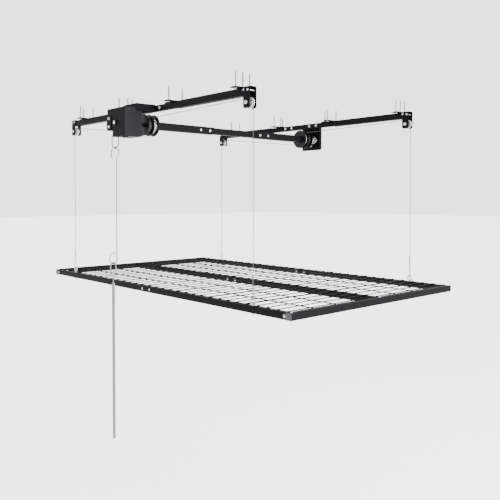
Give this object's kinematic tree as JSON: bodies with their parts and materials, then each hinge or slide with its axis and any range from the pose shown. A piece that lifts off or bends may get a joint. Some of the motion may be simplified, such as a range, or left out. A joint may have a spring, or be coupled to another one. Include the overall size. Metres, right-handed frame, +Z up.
{
  "type": "ceiling mounted pulley rack",
  "caption": "Ceiling frame with a worm-driven drum shaft that lifts a wire deck platform on cables over corner pulleys, worked by a hooked crank pole.",
  "frame": {"origin": "middle of the ceiling frame, on the ceiling plane that its plates lie against", "axes": "+X along the long rails to the right, +Y from the gear case side to the far side, +Z up into the ceiling"},
  "size_m": [2.14, 1.4899, 1.798],
  "materials": {
    "rail_coat": "black powder coat, fine texture",
    "bracket_coat": "black powder coat",
    "zinc_fasteners": "bright zinc plate",
    "case_coat": "charcoal powder coat",
    "cover_coat": "black powder coat",
    "bronze": "oiled bronze",
    "wire_rope": "galvanised wire rope",
    "clamp_alloy": "pressed aluminium",
    "pulley_zinc": "zinc plate",
    "drive_tube_coat": "black powder coat",
    "bright_steel": "turned steel",
    "drum_coat": "gloss black coat",
    "eye_steel": "plated wire",
    "crank_zinc": "polished zinc",
    "deck_wire_coat": "black powder coat",
    "joiner_zinc": "plain zinc",
    "platform_coat": "black powder coat, fine texture"
  },
  "bodies": {
    "ceiling_frame": {"front_rail_left": "rail_coat", "front_rail_middle": "rail_coat", "front_rail_right": "rail_coat", "back_rail_left": "rail_coat", "back_rail_middle": "rail_coat", "back_rail_right": "rail_coat", "front_saddles": "bracket_coat", "back_saddles": "bracket_coat", "lag_screws": "zinc_fasteners", "rail_bolts": "zinc_fasteners", "clevis_front_left": "bracket_coat", "clevis_front_right": "bracket_coat", "clevis_back_left": "bracket_coat", "clevis_back_right": "bracket_coat", "pulley_axles": "zinc_fasteners", "clevis_bolts": "zinc_fasteners", "front_hanger": "bracket_coat", "gear_case": "case_coat", "gear_cover": "cover_coat", "shaft_bushes": "bronze", "worm_bushes": "bronze", "case_bolts": "zinc_fasteners", "back_bearing_plate": "bracket_coat", "back_bearing_housing": "pulley_zinc", "bearing_screws": "zinc_fasteners", "front_rail_cables": "wire_rope", "back_rail_cables": "wire_rope"},
    "platform": {"side_tube_left": "platform_coat", "side_tube_right": "platform_coat", "front_tube_left": "platform_coat", "front_tube_right": "platform_coat", "centre_tube_left": "platform_coat", "centre_tube_right": "platform_coat", "back_tube_left": "platform_coat", "back_tube_right": "platform_coat", "tube_joiners": "joiner_zinc", "wire_decks": "deck_wire_coat", "deck_screws": "zinc_fasteners", "eye_bolts": "zinc_fasteners", "cable_ends": "wire_rope", "cable_clamps": "clamp_alloy", "front_drop_cables": "wire_rope", "back_drop_cables": "wire_rope"},
    "drive_shaft": {"front_sleeve": "drive_tube_coat", "back_sleeve": "drive_tube_coat", "inner_drive_tube": "drive_tube_coat", "front_journal": "bright_steel", "back_journal": "bright_steel", "front_drum": "drum_coat", "back_drum": "drum_coat", "front_windings": "wire_rope", "back_windings": "wire_rope", "worm_wheel": "bronze", "drive_fasteners": "zinc_fasteners"},
    "worm": {"worm_shaft": "bright_steel", "input_eye": "eye_steel"},
    "crank_rod": {"crank_rod": "crank_zinc"},
    "crank_pole": {"crank_pole": "crank_zinc"},
    "pulley_front_left": {"pulley_front_left": "pulley_zinc"},
    "pulley_front_right": {"pulley_front_right": "pulley_zinc"},
    "pulley_back_left": {"pulley_back_left": "pulley_zinc"},
    "pulley_back_right": {"pulley_back_right": "pulley_zinc"}
  },
  "joints": [
    {"name": "platform_lift", "type": "slide", "parent": "ceiling_frame", "child": "platform", "axis": [0, 0, 1], "range_m": [-0.9, 0.65], "deforming": ["front_drop_cables", "back_drop_cables"]},
    {"name": "shaft_turn", "type": "hinge", "parent": "ceiling_frame", "child": "drive_shaft", "pos_m": [0.008, 0, -0.101], "axis": [0, 1, 0], "range_deg": [-932.06, 1290.15]},
    {"name": "worm_turn", "type": "hinge", "parent": "ceiling_frame", "child": "worm", "pos_m": [-0.038, -0.766, -0.14], "axis": [0, 0, 1], "range_deg": [-51567.2, 37243.26]},
    {"name": "pulley_front_left_turn", "type": "hinge", "parent": "ceiling_frame", "child": "pulley_front_left", "pos_m": [-0.803, -0.594, -0.07], "axis": [0, 1, 0], "range_deg": [-2344.92, 1693.83]},
    {"name": "pulley_front_right_turn", "type": "hinge", "parent": "ceiling_frame", "child": "pulley_front_right", "pos_m": [0.803, -0.594, -0.07], "axis": [0, 1, 0], "range_deg": [-1693.83, 2344.92]},
    {"name": "pulley_back_left_turn", "type": "hinge", "parent": "ceiling_frame", "child": "pulley_back_left", "pos_m": [-0.803, 0.594, -0.07], "axis": [0, 1, 0], "range_deg": [-2344.92, 1693.83]},
    {"name": "pulley_back_right_turn", "type": "hinge", "parent": "ceiling_frame", "child": "pulley_back_right", "pos_m": [0.803, 0.594, -0.07], "axis": [0, 1, 0], "range_deg": [-1693.83, 2344.92]},
    {"name": "crank_rod_swing", "type": "hinge", "parent": "worm", "child": "crank_rod", "pos_m": [-0.038, -0.766, -0.2285], "axis": [1, 0, 0], "range_deg": [-8, 5]},
    {"name": "crank_pole_swing", "type": "hinge", "parent": "crank_rod", "child": "crank_pole", "pos_m": [-0.038, -0.78, -0.821], "axis": [0, 1, 0], "range_deg": [-8, 8]}
  ],
  "couplings": [
    {"joint": "shaft_turn", "follows": "platform_lift", "rad_per_m": -25},
    {"joint": "worm_turn", "follows": "platform_lift", "rad_per_m": 1000},
    {"joint": "pulley_front_left_turn", "follows": "platform_lift", "rad_per_m": 45.455},
    {"joint": "pulley_front_right_turn", "follows": "platform_lift", "rad_per_m": -45.455},
    {"joint": "pulley_back_left_turn", "follows": "platform_lift", "rad_per_m": 45.455},
    {"joint": "pulley_back_right_turn", "follows": "platform_lift", "rad_per_m": -45.455}
  ]
}
